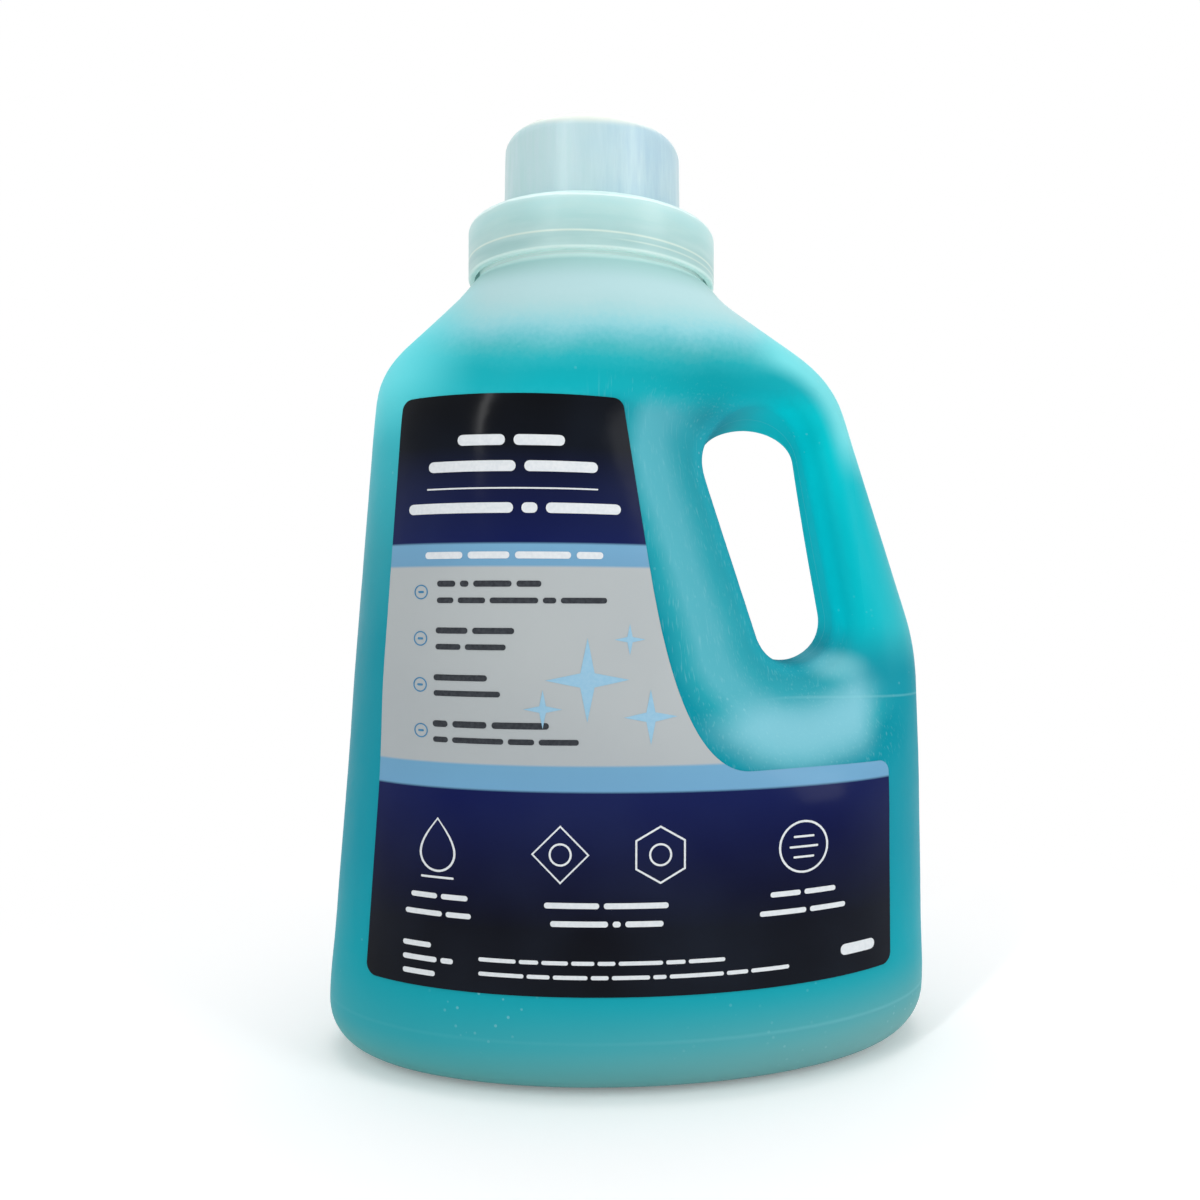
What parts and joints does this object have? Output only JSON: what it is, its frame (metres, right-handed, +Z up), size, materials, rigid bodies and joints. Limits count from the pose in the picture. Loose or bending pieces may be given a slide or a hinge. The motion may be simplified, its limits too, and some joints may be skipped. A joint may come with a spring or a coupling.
{
  "type": "laundry detergent bottle with handle and dosing cap",
  "caption": "Milky blow-moulded laundry bottle with a through handle, turquoise liquid, wide pouring collar, lift-off dosing cap and a dark blue front label.",
  "frame": {"origin": "middle of the base, on the plane that the standing ring rests on", "axes": "+Z up along the neck, +X towards the handle, -Y out of the labelled front"},
  "size_m": [0.157, 0.0903, 0.236],
  "materials": {
    "bottle_wall": "natural milky polyethylene, blow-moulded, soft sheen",
    "liquid": "clear turquoise liquid",
    "collar_plastic": "natural translucent polypropylene, injection-moulded",
    "cap_plastic": "natural translucent polypropylene, injection-moulded",
    "label_film": "printed self-adhesive film, glossy"
  },
  "bodies": {
    "bottle": {"bottle": "bottle_wall", "detergent": "liquid", "spout_collar": "collar_plastic", "front_label": "label_film"},
    "cap": {"dosing_cap": "cap_plastic"}
  },
  "joints": [
    {"name": "cap_lift", "type": "slide", "parent": "bottle", "child": "cap", "axis": [0, 0, 1], "range_m": [0, 0.045]}
  ]
}
